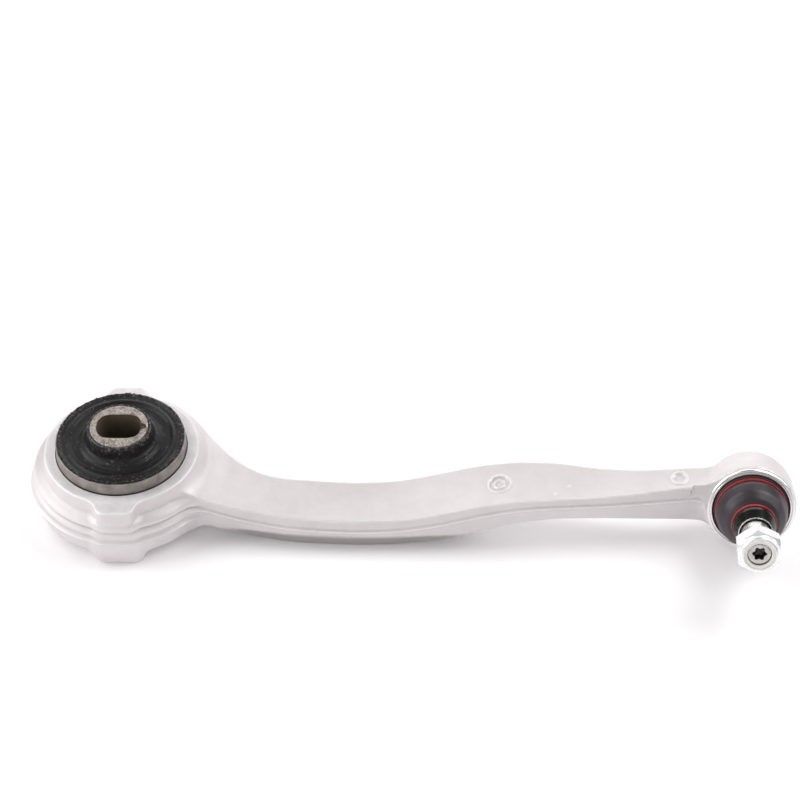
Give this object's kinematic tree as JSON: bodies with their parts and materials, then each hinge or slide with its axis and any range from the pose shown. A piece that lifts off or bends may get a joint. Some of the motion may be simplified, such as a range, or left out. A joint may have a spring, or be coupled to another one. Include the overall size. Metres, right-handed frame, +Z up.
{
  "type": "suspension control arm",
  "caption": "Forged aluminium suspension control arm with a hydraulic rubber bush in the large eye and a booted ball joint with lock nut at the other end.",
  "frame": {"origin": "middle of the link's bounding box, on the surface that the link lies on", "axes": "+X runs along the link from the big eye to the ball joint, +Z is up along the bush axis, and the ball stud points towards -Y and 20.5 degrees upwards"},
  "size_m": [0.3946, 0.1342, 0.0565],
  "materials": {
    "forged_aluminium": "shot-blasted forged aluminium, pale satin grey",
    "sleeve_steel": "turned bare steel with a brown oil tint",
    "core_steel": "coarse sintered steel, speckled grey-brown",
    "hidden_steel": "pressed steel, phosphated grey",
    "spring_rubber": "matte natural rubber",
    "boot_rubber": "semi-gloss chloroprene rubber",
    "dark_plastic": "glass-filled polyamide",
    "seat_plastic": "natural acetal",
    "clip_red": "red coated wire",
    "stud_steel": "ground and oiled steel",
    "zinc_plate": "bright clear zinc plate",
    "nylon": "off-white nylon"
  },
  "bodies": {
    "arm": {"arm_forging": "forged_aluminium", "bush_outer_sleeve": "sleeve_steel", "bush_window_cage": "hidden_steel", "channel_shell_right": "dark_plastic", "channel_shell_left": "dark_plastic", "bush_rubber": "spring_rubber", "ball_seat": "seat_plastic", "seat_pressure_ring": "dark_plastic", "housing_cover": "hidden_steel", "boot_carrier_ring": "hidden_steel"},
    "bush_stops": {"travel_stop_right": "seat_plastic", "travel_stop_left": "seat_plastic"},
    "bush_core": {"bush_inner_sleeve": "core_steel"},
    "boot_foot": {"boot_large_clip": "clip_red", "dust_boot": "boot_rubber"},
    "boot_neck": {"boot_small_clip": "clip_red", "boot_lip_ring": "stud_steel"},
    "stud": {"ball_stud": "stud_steel"},
    "nut_ring": {"nut_nylon_ring": "nylon"},
    "nut": {"lock_nut": "zinc_plate"}
  },
  "joints": [
    {"name": "bush_tilt", "type": "hinge", "parent": "arm", "child": "bush_stops", "pos_m": [-0.14925, 0.01858, 0.02703], "axis": [0, 1, 0], "range_deg": [-3, 3], "stiffness_Nm_per_rad": 280, "deforming": ["bush_rubber"]},
    {"name": "bush_twist", "type": "hinge", "parent": "bush_stops", "child": "bush_core", "pos_m": [-0.14925, 0.01858, 0.02703], "axis": [0, 0, 1], "range_deg": [-20, 20], "stiffness_Nm_per_rad": 60},
    {"name": "stud_direction", "type": "hinge", "parent": "arm", "child": "boot_foot", "pos_m": [0.17395, -0.00502, 0.02493], "axis": [-0.0572, -0.9349, 0.3502], "continuous": true},
    {"name": "stud_tilt", "type": "hinge", "parent": "boot_foot", "child": "boot_neck", "pos_m": [0.17395, -0.00502, 0.02493], "axis": [0.9981, -0.061, 0], "range_deg": [-22, 22], "deforming": ["dust_boot"]},
    {"name": "stud_spin", "type": "hinge", "parent": "boot_neck", "child": "stud", "pos_m": [0.17395, -0.00502, 0.02493], "axis": [-0.0572, -0.9349, 0.3502], "continuous": true},
    {"name": "nut_travel", "type": "slide", "parent": "stud", "child": "nut_ring", "axis": [-0.0572, -0.9349, 0.3502], "range_m": [-0.0031, 0.0091]},
    {"name": "nut_turn", "type": "hinge", "parent": "nut_ring", "child": "nut", "pos_m": [0.17395, -0.00502, 0.02493], "axis": [-0.0572, -0.9349, 0.3502], "range_deg": [-720, 2160]}
  ],
  "couplings": [
    {"joint": "nut_travel", "follows": "nut_turn", "m_per_rad": 0.00023873}
  ]
}
